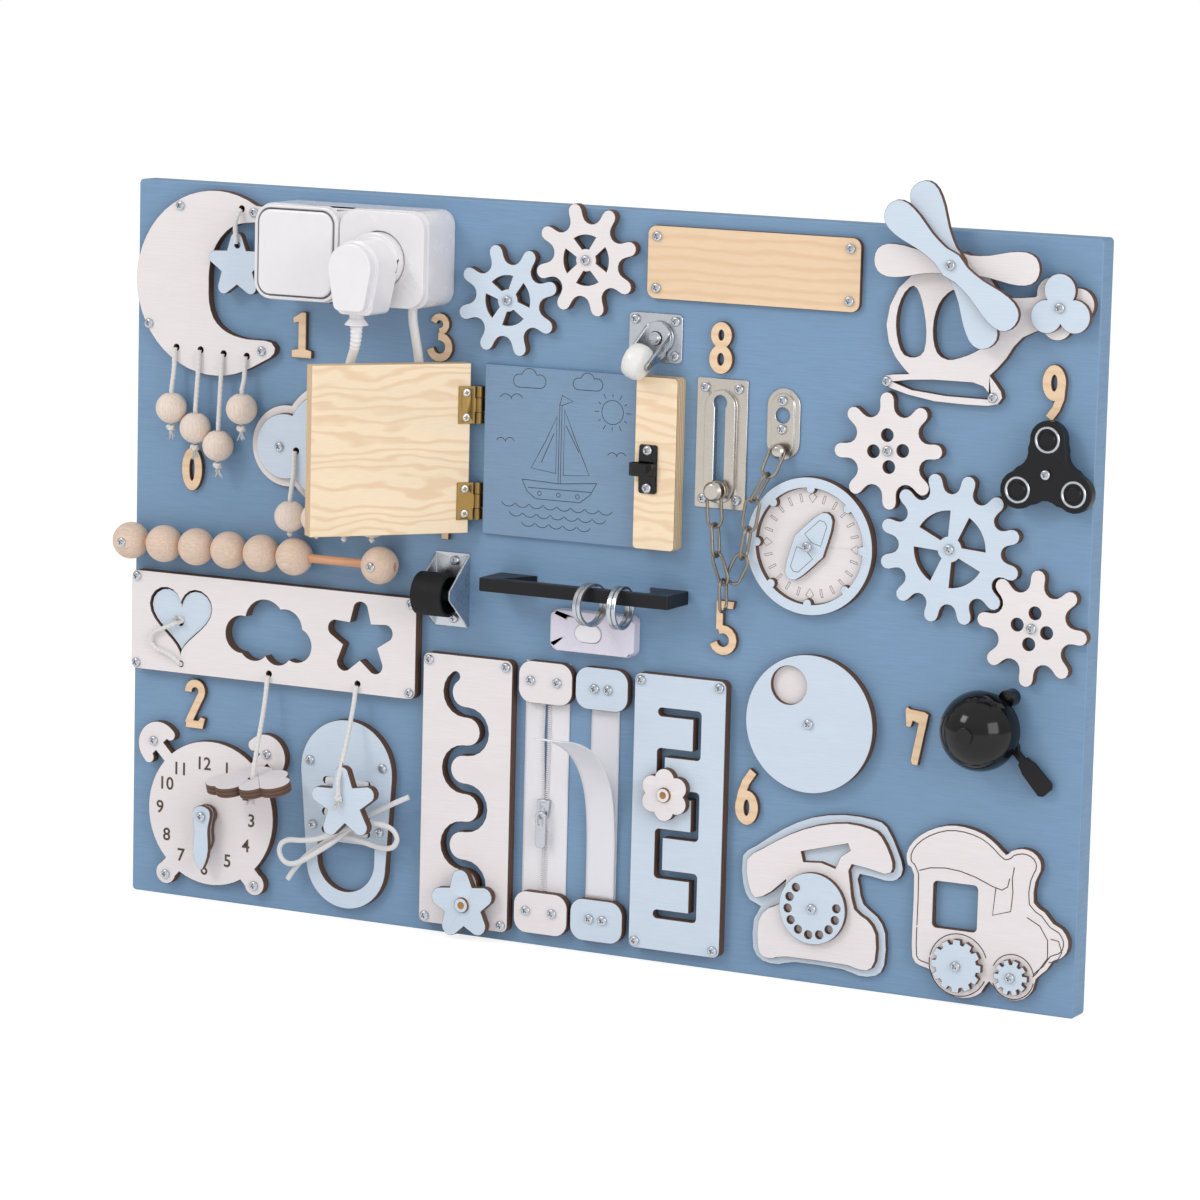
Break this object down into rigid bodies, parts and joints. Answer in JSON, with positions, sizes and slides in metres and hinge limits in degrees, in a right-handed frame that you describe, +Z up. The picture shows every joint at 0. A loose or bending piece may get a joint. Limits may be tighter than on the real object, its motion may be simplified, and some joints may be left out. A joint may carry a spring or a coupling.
{
  "type": "wooden busy board",
  "caption": "Wall-hung wooden activity board with gears, latches, beads, a door, slot mazes, a shape sorter and other turning and sliding pieces for small hands.",
  "frame": {"origin": "centre of the board's back face, which lies against the wall", "axes": "+X to the right along the board's long side seen from the front, +Y into the wall (the front faces -Y), +Z up"},
  "size_m": [0.7623, 0.115, 0.5577],
  "materials": {
    "board": "satin paint over fine grain",
    "screws": "zinc plated",
    "moon_plate": "paint, burnt edges",
    "cloud_plate": "paint, burnt edges",
    "plastic_cases": "gloss white",
    "plug_cord": "smooth flexible sheath",
    "birch_trims": "bare birch plywood",
    "metal_brackets": "plated steel",
    "door_panel": "satin paint",
    "dial_bases": "paint, burnt edges",
    "abacus_rod": "bare beech",
    "sorter_plate": "paint, burnt edges",
    "slot_plates": "paint, burnt edges",
    "woven_tapes": "woven tape",
    "end_plates": "paint, burnt edges",
    "shoe_plate": "paint, burnt edges",
    "laces": "woven cord",
    "phone_plate": "paint, burnt edges",
    "picture_plates": "paint, burnt edges",
    "bell": "gloss black",
    "black_fittings": "satin black",
    "moon_star": "paint, burnt edges",
    "moon_beads": "bare beech",
    "cloud_beads": "bare beech",
    "switch_rocker": "gloss white",
    "plug": "gloss white",
    "gear_blue": "paint, burnt edges",
    "gear_white": "paint, burnt edges",
    "gear_upper": "paint, burnt edges",
    "gear_large": "paint, burnt edges",
    "gear_lower": "paint, burnt edges",
    "rotor_back": "paint, burnt edges",
    "rotor_middle": "paint, burnt edges",
    "rotor_front": "paint, burnt edges",
    "tail_rotor": "paint, burnt edges",
    "caster_fork": "zinc plated",
    "caster_wheel": "milky white",
    "spinner": "satin black",
    "door": "bare birch plywood",
    "door_hinges": "antique brass",
    "chain_slider": "nickel plated",
    "chain": "nickel plated",
    "compass_needle": "paint, burnt edges",
    "viewer_disc": "paint, burnt edges",
    "abacus_beads": "bare beech",
    "roller": "satin black",
    "key_rings": "nickel plated",
    "push_button": "gloss white",
    "heart_piece": "paint, burnt edges",
    "cloud_piece": "paint, burnt edges",
    "star_piece": "paint, burnt edges",
    "wave_knob": "paint, burnt edges",
    "maze_knob": "paint, burnt edges",
    "zip_slider": "nickel plated",
    "hour_hand": "paint, burnt edges",
    "minute_hand": "paint, burnt edges",
    "phone_dial": "paint, burnt edges",
    "wheel_large": "paint, burnt edges",
    "wheel_small": "paint, burnt edges",
    "bell_lever": "gloss black"
  },
  "bodies": {
    "board_body": {"board": "board", "screws": "screws", "moon_plate": "moon_plate", "cloud_plate": "cloud_plate", "plastic_cases": "plastic_cases", "plug_cord": "plug_cord", "birch_trims": "birch_trims", "metal_brackets": "metal_brackets", "door_panel": "door_panel", "dial_bases": "dial_bases", "abacus_rod": "abacus_rod", "sorter_plate": "sorter_plate", "slot_plates": "slot_plates", "woven_tapes": "woven_tapes", "end_plates": "end_plates", "shoe_plate": "shoe_plate", "laces": "laces", "phone_plate": "phone_plate", "picture_plates": "picture_plates", "bell": "bell", "black_fittings": "black_fittings", "chain": "chain"},
    "moon_star": {"moon_star": "moon_star"},
    "moon_beads": {"moon_beads": "moon_beads"},
    "cloud_beads": {"cloud_beads": "cloud_beads"},
    "switch_rocker": {"switch_rocker": "switch_rocker"},
    "plug": {"plug": "plug"},
    "gear_blue": {"gear_blue": "gear_blue"},
    "gear_white": {"gear_white": "gear_white"},
    "gear_upper": {"gear_upper": "gear_upper"},
    "gear_large": {"gear_large": "gear_large"},
    "gear_lower": {"gear_lower": "gear_lower"},
    "rotor_back": {"rotor_back": "rotor_back"},
    "rotor_middle": {"rotor_middle": "rotor_middle"},
    "rotor_front": {"rotor_front": "rotor_front"},
    "tail_rotor": {"tail_rotor": "tail_rotor"},
    "caster_fork": {"caster_fork": "caster_fork"},
    "caster_wheel": {"caster_wheel": "caster_wheel"},
    "spinner": {"spinner": "spinner"},
    "door": {"door": "door", "door_hinges": "door_hinges"},
    "chain_slider": {"chain_slider": "chain_slider"},
    "compass_needle": {"compass_needle": "compass_needle"},
    "viewer_disc": {"viewer_disc": "viewer_disc"},
    "abacus_beads": {"abacus_beads": "abacus_beads"},
    "roller": {"roller": "roller"},
    "key_rings": {"key_rings": "key_rings"},
    "push_button": {"push_button": "push_button"},
    "heart_piece": {"heart_piece": "heart_piece"},
    "cloud_piece": {"cloud_piece": "cloud_piece"},
    "star_piece": {"star_piece": "star_piece"},
    "wave_knob": {"wave_knob": "wave_knob"},
    "maze_knob": {"maze_knob": "maze_knob"},
    "zip_slider": {"zip_slider": "zip_slider"},
    "hour_hand": {"hour_hand": "hour_hand"},
    "minute_hand": {"minute_hand": "minute_hand"},
    "phone_dial": {"phone_dial": "phone_dial"},
    "wheel_large": {"wheel_large": "wheel_large"},
    "wheel_small": {"wheel_small": "wheel_small"},
    "bell_lever": {"bell_lever": "bell_lever"}
  },
  "joints": [
    {"name": "moon_star_swing", "type": "hinge", "parent": "board_body", "child": "moon_star", "pos_m": [-0.2839, -0.0271, 0.2455], "axis": [-1, 0, 0], "range_deg": [0, 60]},
    {"name": "moon_beads_swing", "type": "hinge", "parent": "board_body", "child": "moon_beads", "pos_m": [-0.3077, -0.0271, 0.142], "axis": [-1, 0, 0], "range_deg": [0, 60]},
    {"name": "cloud_beads_swing", "type": "hinge", "parent": "board_body", "child": "cloud_beads", "pos_m": [-0.2012, -0.0281, 0.0755], "axis": [-1, 0, 0], "range_deg": [0, 60]},
    {"name": "rocker_tilt", "type": "hinge", "parent": "board_body", "child": "switch_rocker", "pos_m": [-0.2164, -0.055, 0.2205], "axis": [1, 0, 0], "range_deg": [-4, 4]},
    {"name": "plug_pull", "type": "slide", "parent": "board_body", "child": "plug", "axis": [0, -1, 0], "range_m": [0, 0.04]},
    {"name": "gear_blue_spin", "type": "hinge", "parent": "board_body", "child": "gear_blue", "pos_m": [-0.0658, -0.0218, 0.1942], "axis": [0, -1, 0], "continuous": true},
    {"name": "gear_white_spin", "type": "hinge", "parent": "board_body", "child": "gear_white", "pos_m": [-0.0049, -0.0218, 0.226], "axis": [0, -1, 0], "continuous": true},
    {"name": "gear_upper_spin", "type": "hinge", "parent": "board_body", "child": "gear_upper", "pos_m": [0.2279, -0.0218, 0.1114], "axis": [0, -1, 0], "continuous": true},
    {"name": "gear_large_spin", "type": "hinge", "parent": "board_body", "child": "gear_large", "pos_m": [0.2754, -0.0218, 0.0487], "axis": [0, -1, 0], "continuous": true},
    {"name": "gear_lower_spin", "type": "hinge", "parent": "board_body", "child": "gear_lower", "pos_m": [0.337, -0.0218, 0.0006], "axis": [0, -1, 0], "continuous": true},
    {"name": "rotor_back_spin", "type": "hinge", "parent": "board_body", "child": "rotor_back", "pos_m": [0.2763, -0.027, 0.2405], "axis": [0, -1, 0], "continuous": true},
    {"name": "rotor_middle_spin", "type": "hinge", "parent": "board_body", "child": "rotor_middle", "pos_m": [0.2763, -0.032, 0.2405], "axis": [0, -1, 0], "continuous": true},
    {"name": "rotor_front_spin", "type": "hinge", "parent": "board_body", "child": "rotor_front", "pos_m": [0.2763, -0.038, 0.2405], "axis": [0, -1, 0], "continuous": true},
    {"name": "tail_rotor_spin", "type": "hinge", "parent": "board_body", "child": "tail_rotor", "pos_m": [0.3498, -0.028, 0.216], "axis": [0, -1, 0], "continuous": true},
    {"name": "caster_swivel", "type": "hinge", "parent": "board_body", "child": "caster_fork", "pos_m": [0.05, -0.023, 0.1755], "axis": [0, -1, 0], "continuous": true},
    {"name": "caster_roll", "type": "hinge", "parent": "caster_fork", "child": "caster_wheel", "pos_m": [0.04479, -0.041, 0.16037], "axis": [0.9455, 0, -0.3256], "continuous": true},
    {"name": "spinner_spin", "type": "hinge", "parent": "board_body", "child": "spinner", "pos_m": [0.3463, -0.028, 0.1055], "axis": [0, -1, 0], "continuous": true},
    {"name": "door_swing", "type": "hinge", "parent": "board_body", "child": "door", "pos_m": [-0.088, -0.023, 0.0885], "axis": [0, 0, 1], "range_deg": [0, 131]},
    {"name": "chain_lift", "type": "slide", "parent": "board_body", "child": "chain_slider", "axis": [0, 0, 1], "range_m": [0, 0.058], "deforming": ["chain"]},
    {"name": "needle_spin", "type": "hinge", "parent": "board_body", "child": "compass_needle", "pos_m": [0.1717, -0.024, 0.0418], "axis": [0, -1, 0], "continuous": true},
    {"name": "viewer_spin", "type": "hinge", "parent": "board_body", "child": "viewer_disc", "pos_m": [0.176, -0.024, -0.0805], "axis": [0, -1, 0], "continuous": true},
    {"name": "beads_slide", "type": "slide", "parent": "board_body", "child": "abacus_beads", "axis": [1, 0, 0], "range_m": [0, 0.043]},
    {"name": "roller_spin", "type": "hinge", "parent": "board_body", "child": "roller", "pos_m": [-0.109, -0.043, -0.0145], "axis": [1, 0, 0], "continuous": true},
    {"name": "rings_swing", "type": "hinge", "parent": "board_body", "child": "key_rings", "pos_m": [0.0275, -0.0465, -0.00325], "axis": [-1, 0, 0], "range_deg": [-25, 70]},
    {"name": "button_press", "type": "slide", "parent": "board_body", "child": "push_button", "axis": [0, 1, 0], "range_m": [0, 0.0015], "stiffness_N_per_m": 400, "springref_m": -0.0005},
    {"name": "heart_lift", "type": "slide", "parent": "board_body", "child": "heart_piece", "axis": [0, -1, 0], "range_m": [0, 0.009]},
    {"name": "cloud_swing", "type": "hinge", "parent": "board_body", "child": "cloud_piece", "pos_m": [-0.2543, -0.0291, -0.089], "axis": [-1, 0, 0], "range_deg": [0, 40]},
    {"name": "star_swing", "type": "hinge", "parent": "board_body", "child": "star_piece", "pos_m": [-0.1803, -0.0291, -0.089], "axis": [-1, 0, 0], "range_deg": [0, 50]},
    {"name": "wave_slide", "type": "hinge", "parent": "board_body", "child": "wave_knob", "pos_m": [-0.09035, -0.023, -0.2235], "axis": [0, -1, 0], "range_deg": [0, 165]},
    {"name": "maze_slide", "type": "slide", "parent": "board_body", "child": "maze_knob", "axis": [1, 0, 0], "range_m": [-0.006, 0.021]},
    {"name": "zip_pull", "type": "slide", "parent": "board_body", "child": "zip_slider", "axis": [0, 0, 1], "range_m": [-0.03, 0.066]},
    {"name": "hour_turn", "type": "hinge", "parent": "board_body", "child": "hour_hand", "pos_m": [-0.3042, -0.029, -0.197], "axis": [0, -1, 0], "continuous": true},
    {"name": "minute_turn", "type": "hinge", "parent": "board_body", "child": "minute_hand", "pos_m": [-0.3042, -0.034, -0.197], "axis": [0, -1, 0], "continuous": true},
    {"name": "dial_spin", "type": "hinge", "parent": "board_body", "child": "phone_dial", "pos_m": [0.1845, -0.028, -0.2075], "axis": [0, -1, 0], "continuous": true},
    {"name": "wheel_large_spin", "type": "hinge", "parent": "board_body", "child": "wheel_large", "pos_m": [0.292, -0.026, -0.2345], "axis": [0, -1, 0], "continuous": true},
    {"name": "wheel_small_spin", "type": "hinge", "parent": "board_body", "child": "wheel_small", "pos_m": [0.332, -0.026, -0.2376], "axis": [0, -1, 0], "continuous": true},
    {"name": "bell_strike", "type": "hinge", "parent": "board_body", "child": "bell_lever", "pos_m": [0.3255, -0.023, -0.0815], "axis": [0, -1, 0], "range_deg": [0, 25], "stiffness_Nm_per_rad": 0.05, "springref_deg": -11.46}
  ],
  "couplings": [
    {"joint": "gear_white_spin", "follows": "gear_blue_spin", "ratio": -1},
    {"joint": "gear_upper_spin", "follows": "gear_large_spin", "ratio": -1.5},
    {"joint": "gear_lower_spin", "follows": "gear_large_spin", "ratio": -1.5}
  ]
}
